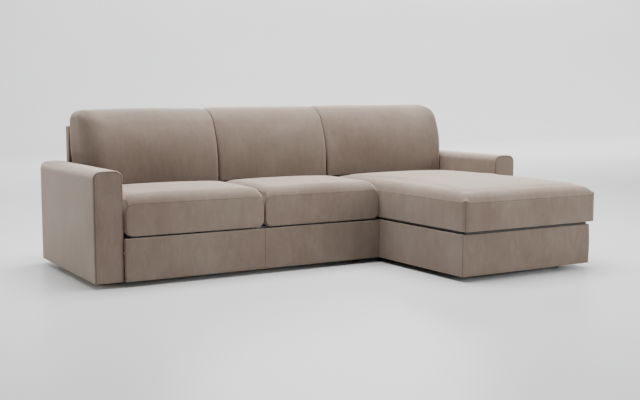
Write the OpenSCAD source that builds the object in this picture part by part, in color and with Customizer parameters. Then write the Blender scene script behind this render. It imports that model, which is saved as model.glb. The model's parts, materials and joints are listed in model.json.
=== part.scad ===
// Two-seat sofa bed with a storage chaise on the right.
// The seats and their back cushions roll forward together and carry a folded mattress.
// Lengths are in millimetres. Inside the modules X runs from the outer face of the left
// arm to the right, Y from the front of the arms to the back and Z up from the floor.

/* [Overall] */
// Width of one arm
arm_w = 168; // [140:1:220]
// Height of the arms above the floor
arm_h = 640; // [580:1:700]
// Depth of the arms from front to back
arm_d = 1040; // [1020:1:1100]
// Width of one seat of the sofa bed
seat_w = 830; // [760:1:900]
// Width of the chaise between the sofa bed and the right arm
chaise_w = 959; // [850:1:1050]
// Reach of the chaise cushion in front of the arms
chaise_reach = 860; // [700:1:950]
// Height of the feet, which stand back out of sight
foot_h = 30; // [20:1:34]

/* [Base] */
// Height of the upholstered base panels' top edge
base_top = 265; // [255:1:268]
// How far the base front stands forward of the arms
base_out = 20; // [5:1:30]
// Thickness of the timber panels
board_t = 18; // [12:1:22]
// Thickness of the fabric and its wadding over a hard panel
cover_t = 4; // [3:0.5:6]
// Thickness of the wadding and fabric on the arms
arm_pad = 12; // [8:1:16]
// Radius of the arms' top edges
arm_edge_r = 36; // [15:1:60]
// Rise of the arms' top between its edges
arm_crown = 6; // [0:1:12]

/* [Seats] */
// Height of the seats' crown above the floor
seat_top = 525; // [490:1:550]
// Depth of the seat cushions
seat_d = 625; // [600:1:628]
// Depth of the seat cushions' front lip, which hides the frame
lip_d = 50; // [40:1:55]
// Rise of a seat cushion's top between its edges
seat_crown = 54; // [20:1:70]
// Radius of the seat cushions' upper edges
seat_edge_r = 34; // [20:1:50]
// How far the joint between the two seats lies right of the bed's middle
joint_shift = 22; // [-40:1:40]
// Gap between two cushions that lie side by side
cushion_gap = 3; // [2:0.5:6]

/* [Back] */
// Height of the back cushions' top above the floor
back_top = 968; // [920:1:1000]
// Rise of the chaise's back cushion above the other two
chaise_back_rise = 10; // [0:1:25]
// How far the back cushions' underside lies below the seats' crown
back_sink = 25; // [10:1:40]
// Front of the back cushions at seat height, behind the arms' front
back_front = 592; // [588:1:640]
// Room behind the folded mattress inside the back cushions
back_room = 46; // [40:1:60]
// How far the front of a back cushion leans back at its top
back_lean = 126; // [60:1:150]
// Height of the rear panel above the floor
rear_panel_h = 852; // [780:1:900]
// Thickness of the rear panel with its cover
rear_panel_t = 62; // [40:1:66]

/* [Chaise] */
// Height of the chaise cushion's crown above the floor
chaise_top = 532; // [500:1:550]
// Rise of the chaise cushion's top between its edges
chaise_crown = 57; // [20:1:70]
// Overhang of the chaise cushion past the arm's inner face
chaise_overhang = 59; // [30:1:90]
// Overhang of the chaise base past the arm's inner face
chaise_base_out = 21; // [10:1:40]
// Set-back of the chaise base behind the front of its cushion
chaise_base_back = 20; // [5:1:40]
// Thickness of the storage floor
floor_t = 12; // [6:1:15]
// Height of the lid hinge above the floor
lid_pivot_z = 470; // [440:1:475]

/* [Bed] */
// Length of the lift arms between their pins
arm_link = 220; // [215:1:225]
// Angle of the lift arms below level when the bed is folded
arm_dip = 20; // [18:1:22]
// Thickness of the mattress
mattress_t = 100; // [80:1:100]
// Width and height of the bed frames' square tube
tube = 22; // [20:1:22]
// Wall of the square tube
tube_wall = 2; // [1.5:0.5:3]
// Thickness of the steel links, legs and lugs
plate_t = 4; // [3:0.5:4]
// Width of the steel lift arms
link_w = 30; // [24:1:32]
// Radius of the pivot pins
pin_r = 6; // [4:0.5:7]
// Running clearance round each pin, on the radius
pin_play = 0.06; // [0.02:0.01:0.1]
// Width of a slat
slat_w = 60; // [40:1:80]
// Number of slats in each bed section
slat_n = 6; // [4:1:7]

/* [Hidden] */

fabric = [0.55, 0.49, 0.44];
timber = [0.80, 0.66, 0.47];
steel = [0.30, 0.31, 0.33];
ticking = [0.90, 0.89, 0.86];
plastic = [0.10, 0.10, 0.11];

// Small gap that keeps a soft piece off its neighbour
soft_gap = 0.3;

// Places along X
bed_x0 = arm_w;
split_x = arm_w + seat_w;
joint_x = split_x + joint_shift;
bed_x1 = arm_w + 2 * seat_w;
right_arm_x = bed_x1 + chaise_w;
sofa_w = right_arm_x + arm_w;
overhang_x = right_arm_x + chaise_overhang;

// Places along Y
chaise_front = -chaise_reach;
mid_y = (arm_d + chaise_front) / 2;
rail_in = 10;

// Layers of the bed mechanism, counted inwards from each side of the bed bay
side_t = 3;
link_in = side_t + 1.1;
leg_in = link_in + plate_t + 1.4;
frame_in = leg_in + plate_t + 2.5;
lug_t = 6;
inner_lug_in = frame_in + lug_t + 1;
mattress_in = frame_in + 16;
pad_in = frame_in - 1;

// Bed mechanism in side view: [Y, Z] of each pivot with the bed folded
pin_y = 53;
pin_z = 134;
pin_pitch = 280;
link_back = arm_link * cos(arm_dip);
link_drop = arm_link * sin(arm_dip);
base_pin_front = [pin_y, pin_z];
base_pin_rear = [pin_y + pin_pitch, pin_z];
head_pin_front = base_pin_front + [link_back, -link_drop];
head_pin_rear = base_pin_rear + [link_back, -link_drop];
head_z0 = head_pin_front[1] - tube / 2;
mattress_z = head_z0 + tube + soft_gap;
fold_gap = 2;
head_hinge_y = 30;
head_hinge = [head_hinge_y, mattress_z + mattress_t + fold_gap];
middle_z0 = head_hinge[1] + fold_gap + mattress_t;
middle_l = 770;
foot_hinge = [head_hinge_y + middle_l, middle_z0 + tube / 2];
foot_y0 = foot_hinge[0] - tube / 2;

// The folded foot section sets the rear of the back cushions and so the rear panel's place
back_rear = foot_y0 + tube + mattress_t + back_room;
rear_gap = 18;
rear_rail_up = 10;
rear_rail_h = 110;
rear_y0 = back_rear + rear_gap;
foot_l = 600;
foot_end = foot_hinge[1] + foot_l;

// Rails of the bed sections, set back from the hinges at their ends
head_rail_in = 72;
head_rail_y0 = head_hinge_y + head_rail_in;
head_rail_l = 538;
head_rail_y1 = head_rail_y0 + head_rail_l;
middle_rail_in = 10;
middle_rail_y0 = head_hinge_y + middle_rail_in;
middle_rail_end = 16;
middle_rail_y1 = foot_hinge[0] - middle_rail_end;
foot_rail_in = 15;
foot_rail_z0 = foot_hinge[1] + foot_rail_in;
slat_t = 8;
head_lug_w = 24;
lug_w = 22;
mattress_r = 14;
mattress_back = 20;
mattress_rise = 4;

// Rise of the folded bed to its open height, from the lift arms' two end angles
lift_travel = 90;
lift_rise = arm_link * (sin(lift_travel - arm_dip) + sin(arm_dip));
bed_plane = head_hinge[1] + lift_rise - (foot_hinge[1] - head_hinge[1]);
leg_clear = 2;
leg_l = bed_plane - leg_clear;
leg_w = 20;
middle_leg_in = 25;
middle_leg_y = foot_hinge[0] - middle_leg_in;
foot_leg_up = 335;
foot_leg_z = foot_hinge[1] + foot_leg_up;

// Slots in the two back cushions that fold out with the bed
slot_y0 = foot_y0 - soft_gap;
slot_y1 = foot_y0 + tube + mattress_t + 2 * soft_gap;
slot_z1 = foot_end + soft_gap;
wing_t = 7;
pad_low = seat_top - back_sink;

// Chaise storage box
box_y0 = chaise_front + chaise_base_back;
box_y1 = back_front + 38;
box_x1 = right_arm_x + chaise_base_out;
lid_y1 = back_front - 22;
lid_rest = base_top + 3;
lid_board_t = 15;
lid_pivot_y = back_front;

// The cushion steps back in front of the right arm by as much as the swing of the lid
// takes to rise past the arm's top
swing_play = 2;
lid_step = norm([lid_pivot_y + swing_play, arm_h - lid_pivot_z]) - lid_pivot_y;
hinge_xs = [bed_x1 + 90, right_arm_x - 90];
hinge_t = 5;
hinge_foot_w = 40;
hinge_foot_t = 4;
hinge_foot_h = 60;

// Moves the sofa so that its origin is the middle of its footprint on the floor
module at_home() { translate([-sofa_w / 2, -mid_y, 0]) children(); }

// Copies the left side of the bed to its right side
module both_sides() {
    children();
    translate([2 * split_x, 0, 0]) mirror([1, 0, 0]) children();
}

// Extrudes a [Y, Z] drawing along X
module along_x(x0, x1) {
    translate([x0, 0, 0]) rotate([90, 0, 90]) linear_extrude(x1 - x0) children();
}

// Extrudes an [X, Z] drawing along Y
module along_y(y0, y1) {
    translate([0, y1, 0]) rotate([90, 0, 0]) linear_extrude(y1 - y0) children();
}

// Box between two corners
module block(low, high) { translate(low) cube(high - low); }

// Pin along X
module pin_x(p, x0, x1, r) {
    translate([x0, p[0], p[1]]) rotate([0, 90, 0]) cylinder(h = x1 - x0, r = r, $fn = 32);
}

// Square tube along X between two corners of its bounding box
module tube_x(low, high) {
    difference() {
        block(low, high);
        block(low + [-1, tube_wall, tube_wall], high + [1, -tube_wall, -tube_wall]);
    }
}

// Square tube lying across a bed section, or standing in it, along its longest side
module tube_rail(low, high) {
    size = high - low;
    reach = size[1] > size[2] ? [0, 1, 0] : [0, 0, 1];
    wall = tube_wall * ([1, 1, 1] - reach);
    difference() {
        block(low, high);
        block(low + wall - reach, high - wall + reach);
    }
}

// Drawing with a flat foot and two rounded upper corners
module rounded_top(y0, y1, z0, z1, r) {
    translate([y0, z0]) square([y1 - y0, z1 - r - z0]);
    translate([y0 + r, z0]) square([y1 - y0 - 2 * r, z1 - z0]);
    for (y = [y0 + r, y1 - r]) translate([y, z1 - r]) circle(r, $fn = 32);
}

// Points of an arc in a drawing
function arc_points(c, r, a0, a1, n) =
    [for (i = [0:n]) let (a = a0 + (a1 - a0) * i / n) c + [r[0] * cos(a), r[1] * sin(a)]];

// Flat bar with round ends between two points of a drawing
module bar(p, q, w) {
    turn = atan2(q[1] - p[1], q[0] - p[0]);
    r = [w / 2, w / 2];
    polygon(concat(arc_points(q, r, turn - 90, turn + 90, 12),
                   arc_points(p, r, turn + 90, turn + 270, 12)));
}

// Closed surface through rings of points that follow each other along X
module skin(rings) {
    m = len(rings);
    n = len(rings[0]);
    tips = [for (r = [rings[0], rings[m - 1]]) (r * 0)[0] + [for (p = r) 1] * r / n];
    polyhedron(
        concat([for (r = rings) each r], tips),
        concat(
            [for (i = [0:m - 2], j = [0:n - 1], half = [0, 1])
                let (a = i * n + j, b = i * n + (j + 1) % n)
                half == 0 ? [a, b, b + n] : [a, b + n, a + n]],
            [for (j = [0:n - 1]) [m * n, (j + 1) % n, j]],
            [for (j = [0:n - 1]) [m * n + 1, (m - 1) * n + j, (m - 1) * n + (j + 1) % n]]
        )
    );
}

// Where a cushion's rings lie along its width: [distance from its left side, inset]
function ring_places(w, r) = let (
    ends = [for (a = [0, 20, 40, 60, 90]) [r * (1 - cos(a)), r * (1 - sin(a))]]
) concat(
    ends,
    [for (i = [1:4]) [r + (w - 2 * r) * (1 - cos(36 * i)) / 2, 0]],
    [for (i = [4:-1:0]) [w - ends[i][0], ends[i][1]]]
);

// The lower this power, the closer to its edges a cushion reaches its full crown
fullness = 0.4;

// Cushion from x0 to x1 whose side view is a list of [Y, Z] points with a given middle
// and half size. It is rounded at both ends, crowned by the profile's third value, and
// its sides are drawn in a little between the corners.
module cushion(x0, x1, profile, middle, half, r, draw) {
    w = x1 - x0;
    skin([for (s = ring_places(w, r)) let (across = sin(180 * s[0] / w)) [
        for (p = profile) let (
            y = (p[0] - middle[0]) * (1 - (s[1] + draw * across) / half[0]),
            z = (p[1] - middle[1]) * (1 - s[1] / half[1]),
            pull = draw * cos(90 * min(1, abs(p[0] - middle[0]) / half[0]))
        ) [x0 + w / 2 + (s[0] - w / 2) * (1 - 2 * pull / w),
           middle[0] + y,
           middle[1] + z + p[2] * pow(max(0, across), fullness)]
    ]]);
}

// Side view of a flat cushion: depth from y0 to y1, z0 to z1 at its edges, and a crown
function flat_profile(y0, y1, z0, z1, r_low, r_top, crown) = let (
    outline = concat(
        arc_points([y0 + r_low, z0 + r_low], [r_low, r_low], 270, 180, 3),
        arc_points([y0 + r_top, z1 - r_top], [r_top, r_top], 180, 90, 4),
        [for (i = [1:5]) [y0 + r_top + (y1 - y0 - 2 * r_top) * i / 6, z1]],
        arc_points([y1 - r_top, z1 - r_top], [r_top, r_top], 90, 0, 4),
        arc_points([y1 - r_low, z0 + r_low], [r_low, r_low], 0, -90, 3)
    )
) [for (p = outline) let (
    up = max(0, (p[1] - z0) / (z1 - z0) * 2 - 1),
    along = sin(180 * (p[0] - y0) / (y1 - y0))
) [p[0], p[1], crown * up * pow(max(0, along), fullness)]];

// Side view of a back cushion: a front that leans back in a curve and a round top
function back_profile(height) = let (
    z0 = pad_low + 40,
    top = 0.86,
    lean = function (u) back_front + back_lean * pow(u, 2.2),
    r = [(back_rear - lean(top)) / 2, 80],
    c = [back_rear - r[0], height - r[1]],
    low_r = 22,
    outline = concat(
        arc_points([back_front + low_r, pad_low + low_r], [low_r, low_r], 270, 195, 2),
        [for (i = [0:5]) let (u = top * i / 6) [lean(u), z0 + u * (height - z0)]],
        arc_points(c, r, 165, 0, 11),
        [[back_rear, (pad_low + height) / 2]],
        arc_points([back_rear - low_r, pad_low + low_r], [low_r, low_r], 0, -90, 2)
    )
) [for (p = outline) [p[0], p[1], 0]];

// Seat cushion with a lip at the front that hangs over the bed frame
module seat_cushion(x0, x1) {
    low = base_top + 10;
    rest = middle_z0 + tube + soft_gap;
    edge_top = seat_top - seat_crown;
    y1 = seat_d - base_out;
    color(fabric) difference() {
        cushion(x0, x1,
            flat_profile(-base_out, y1, low, edge_top, 16, seat_edge_r, seat_crown),
            [(y1 - base_out) / 2, low + 60], [seat_d / 2, 110], 30, 4);
        block([x0 - 1, lip_d - base_out, low - 1], [x1 + 1, y1 + 1, rest]);
    }
}

// Back cushion as it stands above the seats
module back_cushion(x0, x1, height = back_top) {
    cushion(x0, x1, back_profile(height),
        [(back_front + back_rear) / 2, pad_low + 60],
        [(back_rear - back_front) / 2, (height - pad_low) / 2], 34, 4);
}

// Back cushion that rides on the foot section of the bed
module folding_back_cushion(x0, x1) {
    color(fabric) difference() {
        back_cushion(x0, x1);
        block([bed_x0 + pad_in + wing_t, slot_y0, pad_low - 1],
              [bed_x1 - pad_in - wing_t, slot_y1, slot_z1]);
        block([x0 - 1, slot_y0, pad_low - 1], [x1 + 1, back_rear + 1, arm_h + 5]);
    }
}

module feet() {
    inset = 150;
    chaise_inset = 140;
    arm_xs = [arm_w / 2, sofa_w - arm_w / 2];
    spots = concat(
        [for (x = arm_xs, y = [inset, arm_d - inset]) [x, y]],
        [for (y = [box_y0 + chaise_inset, box_y1 - chaise_inset]) [bed_x1 + chaise_inset, y]],
        [[box_x1 - chaise_inset, box_y0 + chaise_inset],
         [right_arm_x - chaise_inset, box_y1 - chaise_inset],
         [split_x, rear_y0 + rear_panel_t / 2]]
    );
    color(plastic) at_home() for (p = spots)
        translate([p[0], p[1], 0]) cylinder(h = foot_h, r = 25, $fn = 32);
}

// Section of an arm, inset from its fabric, standing on height z0
module arm_outline(inset, z0) {
    w = arm_w - 2 * inset;
    r = max(arm_edge_r - inset, 4);
    top = arm_h - arm_crown - inset;
    upper = concat(
        arc_points([inset + r, top - r], [r, r], 180, 90, 6),
        [for (i = [1:3]) [inset + r + (w - 2 * r) * i / 4, top]],
        arc_points([inset + w - r, top - r], [r, r], 90, 0, 6)
    );
    polygon(concat([[inset, z0]], [for (p = upper) let (
        up = max(0, (p[1] - top + r) / r)
    ) [p[0], p[1] + arm_crown * up * sin(180 * (p[0] - inset) / w)]], [[inset + w, z0]]));
}

module arm_frame(x) {
    wall = arm_pad + board_t;
    color(timber) at_home() translate([x, 0, 0]) difference() {
        along_y(arm_pad, arm_d - arm_pad) arm_outline(arm_pad, foot_h);
        block([wall, wall, foot_h + board_t],
              [arm_w - wall, arm_d - wall, arm_h - arm_crown - wall]);
    }
}

module arm_cover(x) {
    color(fabric) at_home() translate([x, 0, 0]) difference() {
        along_y(0, arm_d) arm_outline(0, foot_h);
        along_y(arm_pad, arm_d - arm_pad) arm_outline(arm_pad, foot_h - 1);
    }
}

module arm_left_frame() { arm_frame(0); }
module arm_left_cover() { arm_cover(0); }
module arm_right_frame() { arm_frame(right_arm_x); }
module arm_right_cover() { arm_cover(right_arm_x); }

module rear_panel_frame() {
    y0 = rear_y0 + cover_t;
    y1 = rear_y0 + rear_panel_t - cover_t;
    top = rear_panel_h - cover_t;
    rail = 90;
    color(timber) at_home() difference() {
        block([bed_x0, y0, foot_h], [right_arm_x, y1, top]);
        block([bed_x0 + rail, y0 + board_t / 2, foot_h + rail],
              [right_arm_x - rail, y1 - board_t / 2, top - rail]);
    }
}

module rear_panel_cover() {
    color(fabric) at_home() difference() {
        along_x(bed_x0, right_arm_x)
            rounded_top(rear_y0, rear_y0 + rear_panel_t, foot_h, rear_panel_h, 3);
        block([bed_x0 - 1, rear_y0 + cover_t, foot_h - 1],
              [right_arm_x + 1, rear_y0 + rear_panel_t - cover_t, rear_panel_h - cover_t]);
    }
}

module base_front_rail() {
    color(timber) at_home() block([bed_x0, cover_t - base_out, foot_h],
                                  [bed_x1, rail_in - cover_t, base_top - cover_t]);
}

module base_front_cover() {
    color(fabric) at_home() difference() {
        along_x(bed_x0, bed_x1) rounded_top(-base_out, rail_in, foot_h, base_top, 3);
        block([bed_x0 - 1, cover_t - base_out, foot_h - 1],
              [bed_x1 + 1, rail_in - cover_t, base_top - cover_t]);
    }
}

module base_rear_rail() {
    color(timber) at_home()
        block([bed_x0, rear_y0 - board_t, foot_h + rear_rail_up],
              [bed_x1, rear_y0, foot_h + rear_rail_up + rear_rail_h]);
}

// Steel plate on the wall of the bed bay, which the lift arms' lower pins stand on
module side_plate() {
    low = foot_h + 8;
    hub_w = 80;
    front = base_pin_front[0] - hub_w / 2;
    rear = base_pin_rear[0] + hub_w / 2;
    hole_r = 22;
    along_x(bed_x0, bed_x0 + side_t) difference() {
        union() {
            translate([front, low]) square([rear - front, base_pin_front[1] - low]);
            bar(base_pin_front, base_pin_rear, hub_w);
        }
        for (i = [1:3]) translate(base_pin_front + [pin_pitch * i / 4, -hole_r / 2])
            circle(hole_r, $fn = 32);
    }
}

module side_plate_left() { color(steel) at_home() side_plate(); }
module side_plate_right() {
    color(steel) at_home() translate([2 * split_x, 0, 0]) mirror([1, 0, 0]) side_plate();
}

// Lower pins of the lift arms, each with a washer on both sides of its arm
module lift_pins() {
    plate_x = bed_x0 + side_t;
    link_x = bed_x0 + link_in;
    washer_r = 10;
    washer_play = 0.1;
    color(steel) at_home() both_sides() for (p = [base_pin_front, base_pin_rear]) {
        pin_x(p, plate_x, link_x - washer_play, washer_r);
        pin_x(p, link_x - 0.5, link_x + plate_t + 0.5, pin_r);
        pin_x(p, link_x + plate_t + washer_play, link_x + plate_t + 1, washer_r);
    }
}

// Plan of the chaise base, which steps in beside the right arm, inset from its fabric
module chaise_plan(inset) {
    step = 6;
    translate([bed_x1 + inset, box_y0 + inset])
        square([chaise_w - 2 * inset, box_y1 - box_y0 - inset]);
    translate([bed_x1 + inset, box_y0 + inset])
        square([box_x1 - bed_x1 - 2 * inset, -step - box_y0 - 2 * inset]);
}

module chaise_box() {
    inner = cover_t + board_t;
    color(timber) at_home() translate([0, 0, foot_h]) difference() {
        linear_extrude(lid_rest - soft_gap - foot_h) chaise_plan(cover_t);
        translate([0, 0, -1]) linear_extrude(lid_rest) intersection() {
            chaise_plan(inner);
            translate([bed_x1, box_y0]) square([box_x1, box_y1 - box_y0 - board_t]);
        }
    }
}

module chaise_floor() {
    color(timber) at_home() translate([0, 0, foot_h]) linear_extrude(floor_t) intersection() {
        chaise_plan(cover_t + board_t);
        translate([bed_x1, box_y0]) square([box_x1, box_y1 - box_y0 - board_t]);
    }
}

module chaise_cover() {
    color(fabric) at_home() translate([0, 0, foot_h]) difference() {
        linear_extrude(base_top - foot_h) chaise_plan(0);
        translate([0, 0, -1]) linear_extrude(base_top) {
            chaise_plan(cover_t);
            translate([bed_x1 + cover_t, box_y1 - 1]) square([chaise_w - 2 * cover_t, 2]);
        }
    }
}

// Plinth behind the lid, which carries the third back cushion
module chaise_back_platform() {
    top = pad_low - soft_gap;
    color(timber) at_home() difference() {
        block([bed_x1, box_y1, foot_h], [right_arm_x, rear_y0, top]);
        block([bed_x1 + board_t, box_y1 + board_t, foot_h - 1],
              [right_arm_x - board_t, rear_y0 - board_t, top - board_t]);
    }
}

module back_cushion_chaise() {
    color(fabric) at_home()
        back_cushion(bed_x1 - 2, right_arm_x - cushion_gap, back_top + chaise_back_rise);
}

// Brackets on the plinth's front, each with a pin that carries one lid arm
module lid_hinge_brackets() {
    pivot = [lid_pivot_y, lid_pivot_z];
    ear_w = 18;
    foot = [hinge_foot_w, hinge_foot_t, hinge_foot_h];
    ear_x = hinge_t + 0.6;
    color(steel) at_home() for (x = hinge_xs) translate([x, 0, 0]) {
        along_x(ear_x, ear_x + hinge_t) difference() {
            bar(pivot, [box_y1, lid_pivot_z], ear_w);
            translate([box_y1, lid_pivot_z - ear_w]) square(2 * ear_w);
        }
        translate([ear_x, box_y1 - foot[1], lid_pivot_z - foot[2] / 2]) cube(foot);
        pin_x(pivot, -2, ear_x + 1, pin_r);
        pin_x(pivot, -2, -0.5, pin_r + 3);
        pin_x(pivot, hinge_t + 0.1, ear_x, pin_r + 3);
    }
}

module lid_board() {
    inset = 15;
    color(timber) at_home() block(
        [bed_x1 + inset, chaise_front + inset, lid_rest],
        [right_arm_x - inset, lid_y1 - inset, lid_rest + lid_board_t]);
}

module lid_cushion() {
    low = lid_rest + lid_board_t + soft_gap;
    edge_r = 38;
    x0 = bed_x1 + 1;
    middle = [(chaise_front + lid_y1) / 2, low + 60];
    color(fabric) at_home() difference() {
        cushion(x0, overhang_x,
            flat_profile(chaise_front, lid_y1, low, chaise_top - chaise_crown, 14, edge_r,
                chaise_crown),
            middle, [lid_y1 - middle[0], (chaise_top - low) / 2], edge_r, 4);
        block([right_arm_x - cushion_gap, -lid_step, low - 1],
              [overhang_x + 1, lid_y1 + 1, chaise_top + 1]);
    }
}

// Steel angles screwed under the lid, which rise behind it to the pins
module lid_hinge_arms() {
    arm_w_steel = 18;
    under = lid_rest - arm_w_steel / 2;
    reach = 120;
    color(steel) at_home() for (x = hinge_xs) along_x(x, x + hinge_t) difference() {
        union() {
            bar([lid_y1 - reach, under], [lid_pivot_y, under], arm_w_steel);
            bar([lid_pivot_y, under], [lid_pivot_y, lid_pivot_z], arm_w_steel);
        }
        translate([lid_pivot_y, lid_pivot_z]) circle(pin_r + pin_play, $fn = 48);
    }
}

// Pair of lift arms between a lower pin and a pin on the head frame
module lift_arms(base_pin, head_pin, head_play) {
    color(steel) at_home() both_sides() along_x(bed_x0 + link_in, bed_x0 + link_in + plate_t)
        difference() {
            bar(base_pin, head_pin, link_w);
            translate(base_pin) circle(pin_r + pin_play, $fn = 48);
            translate(head_pin) circle(pin_r + head_play, $fn = 48);
        }
}

module lift_arm_rear() { lift_arms(base_pin_rear, head_pin_rear, pin_play); }

// The front pair's upper pins close the parallelogram, so they run with more play
module lift_arm_front() { lift_arms(base_pin_front, head_pin_front, 5 * pin_play); }

// Two side rails of a bed section between two corners of the left rail, with the
// cross tubes that join them at [start, end] along axis 1 or 2
module ladder(low, high, axis) {
    x_in = high[0];
    x_far = 2 * split_x - x_in;
    both_sides() tube_rail(low, high);
    ends = [low[axis], high[axis] - tube];
    for (s = ends) {
        c0 = axis == 1 ? [x_in, s, low[2]] : [x_in, low[1], s];
        tube_x(c0, [x_far, c0[1] + tube, c0[2] + tube]);
    }
}

module head_frame() {
    x = bed_x0 + frame_in;
    link_x = bed_x0 + link_in;
    color(steel) at_home() {
        ladder([x, head_rail_y0, head_z0], [x + tube, head_rail_y1, head_z0 + tube], 1);
        both_sides() {
            along_x(x, x + lug_t) difference() {
                bar([head_rail_y0 + tube / 2, head_z0 + tube / 2], head_hinge, head_lug_w);
                translate(head_hinge) circle(pin_r + pin_play, $fn = 48);
            }
            for (p = [head_pin_front, head_pin_rear]) {
                pin_x(p, link_x - 0.5, x, pin_r);
                pin_x(p, link_x + plate_t + 0.2, x, pin_r + 3);
            }
        }
    }
}

// Row of slats across a bed section, from one end to the other along axis 1 or 2
module slats(x_in, start, end, axis, level, thick) {
    pitch = (end - start - slat_w) / (slat_n - 1);
    x0 = bed_x0 + x_in;
    for (i = [0:slat_n - 1]) {
        s = start + i * pitch;
        low = axis == 1 ? [x0, s, level] : [x0, level, s];
        high = axis == 1 ? [0, slat_w, thick] : [0, thick, slat_w];
        block(low, [2 * split_x - x0, low[1], low[2]] + high);
    }
}

module head_slats() {
    color(timber) at_home()
        slats(frame_in + tube, head_rail_y0 + tube, head_rail_y1 - tube, 1,
              head_z0 + tube - slat_t, slat_t);
}

// Mattress section from corner to corner in side view, over the width of the bed
module mattress(y0, y1, z0, z1) {
    r = mattress_r;
    color(ticking) at_home() along_x(bed_x0 + mattress_in, bed_x1 - mattress_in) union() {
        translate([y0 + r, z0]) square([y1 - y0 - 2 * r, z1 - z0]);
        translate([y0, z0 + r]) square([y1 - y0, z1 - z0 - 2 * r]);
        for (y = [y0 + r, y1 - r], z = [z0 + r, z1 - r]) translate([y, z]) circle(r, $fn = 32);
    }
}

module mattress_head() {
    mattress(middle_rail_y0, head_rail_y1 - mattress_back, mattress_z, mattress_z + mattress_t);
}

module middle_frame() {
    x = bed_x0 + frame_in;
    x_inner = bed_x0 + inner_lug_in;
    mid_z = middle_z0 + tube / 2;
    leg_boss = [middle_leg_y, mid_z];
    color(steel) at_home() {
        ladder([x, middle_rail_y0, middle_z0],
               [x + tube, middle_rail_y1, middle_z0 + tube], 1);
        both_sides() {
            along_x(x_inner, x_inner + lug_t)
                bar(head_hinge, [middle_rail_y0 + tube / 2, mid_z], lug_w);
            pin_x(head_hinge, x - 0.5, x_inner, pin_r);
            pin_x(head_hinge, x + lug_t + 0.1, x_inner, pin_r + 3);
            along_x(x, x + lug_t) difference() {
                bar([middle_rail_y1 - 2 * tube, mid_z], foot_hinge, lug_w);
                translate(foot_hinge) circle(pin_r + pin_play, $fn = 48);
            }
            pin_x(leg_boss, bed_x0 + leg_in + plate_t, x, pin_r + 3);
        }
    }
}

module middle_slats() {
    color(timber) at_home()
        slats(frame_in + tube, middle_rail_y0 + tube, middle_rail_y1 - tube, 1,
              middle_z0, slat_t);
}

// Thin board that the seat cushions are fastened to
module seat_deck() {
    x = bed_x0 + frame_in + tube;
    color(timber) at_home() block(
        [x, middle_rail_y0 + tube, middle_z0 + tube - slat_t],
        [2 * split_x - x, middle_rail_y1 - tube, middle_z0 + tube]);
}

module mattress_middle() {
    z1 = middle_z0 - soft_gap;
    mattress(head_hinge_y + fold_gap, foot_hinge[0] - fold_gap, z1 - mattress_t + soft_gap, z1);
}

module seat_cushion_left() { at_home() seat_cushion(bed_x0 + 2, joint_x - cushion_gap / 2); }
module seat_cushion_right() { at_home() seat_cushion(joint_x + cushion_gap / 2, bed_x1 - 2); }

// Leg as a flat bar in one layer beside the bed, from one point down or up to another
module leg_bars(layer, p, q, bore) {
    x = bed_x0 + layer;
    color(steel) at_home() both_sides() along_x(x, x + plate_t) difference() {
        bar(p, q, leg_w);
        if (bore) translate(p) circle(pin_r + pin_play, $fn = 48);
    }
}

module middle_legs() {
    foot = foot_hinge[1] + leg_l - leg_w / 2;
    leg_bars(leg_in, [middle_leg_y, foot_hinge[1]], [middle_leg_y, foot], false);
}

module foot_legs() {
    foot = foot_leg_z - leg_l + leg_w / 2;
    leg_bars(link_in, [foot_hinge[0], foot_leg_z], [foot_hinge[0], foot], true);
}

module foot_frame() {
    x = bed_x0 + inner_lug_in;
    lug_x = bed_x0 + frame_in;
    link_x = bed_x0 + link_in;
    leg_pin = [foot_hinge[0], foot_leg_z];
    color(steel) at_home() {
        ladder([x, foot_y0, foot_rail_z0], [x + tube, foot_y0 + tube, foot_end], 2);
        both_sides() {
            along_x(x, x + lug_t) bar(foot_hinge, [foot_hinge[0], foot_rail_z0 + tube], tube);
            pin_x(foot_hinge, lug_x - 0.5, x, pin_r);
            pin_x(foot_hinge, lug_x + lug_t + 0.1, x, pin_r + 3);
            pin_x(leg_pin, link_x - 0.5, x, pin_r);
            pin_x(leg_pin, link_x + plate_t + 0.2, x, pin_r + 3);
        }
    }
}

module foot_slats() {
    color(timber) at_home()
        slats(inner_lug_in + tube, foot_rail_z0 + tube, foot_end - tube, 2,
              foot_y0 + tube - slat_t, slat_t);
}

// Thin board that the two folding back cushions are fastened to
module back_board() {
    x = bed_x0 + inner_lug_in + tube;
    color(timber) at_home() block([x, foot_y0, foot_rail_z0 + tube],
                                  [2 * split_x - x, foot_y0 + slat_t, foot_end - tube]);
}

module mattress_foot() {
    y0 = foot_y0 + tube + soft_gap;
    mattress(y0, y0 + mattress_t, foot_hinge[1] + mattress_rise, foot_end);
}

module back_cushion_left() {
    at_home() folding_back_cushion(bed_x0 + pad_in, joint_x - cushion_gap / 2);
}

module back_cushion_middle() {
    at_home() folding_back_cushion(joint_x + cushion_gap / 2, bed_x1 - pad_in);
}

feet();
arm_left_frame();
arm_left_cover();
arm_right_frame();
arm_right_cover();
rear_panel_frame();
rear_panel_cover();
base_front_rail();
base_front_cover();
base_rear_rail();
side_plate_left();
side_plate_right();
lift_pins();
chaise_box();
chaise_floor();
chaise_cover();
chaise_back_platform();
back_cushion_chaise();
lid_hinge_brackets();
lid_board();
lid_cushion();
lid_hinge_arms();
lift_arm_rear();
lift_arm_front();
head_frame();
head_slats();
mattress_head();
middle_frame();
middle_slats();
seat_deck();
mattress_middle();
seat_cushion_left();
seat_cushion_right();
middle_legs();
foot_frame();
foot_slats();
back_board();
mattress_foot();
back_cushion_left();
back_cushion_middle();
foot_legs();
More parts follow.
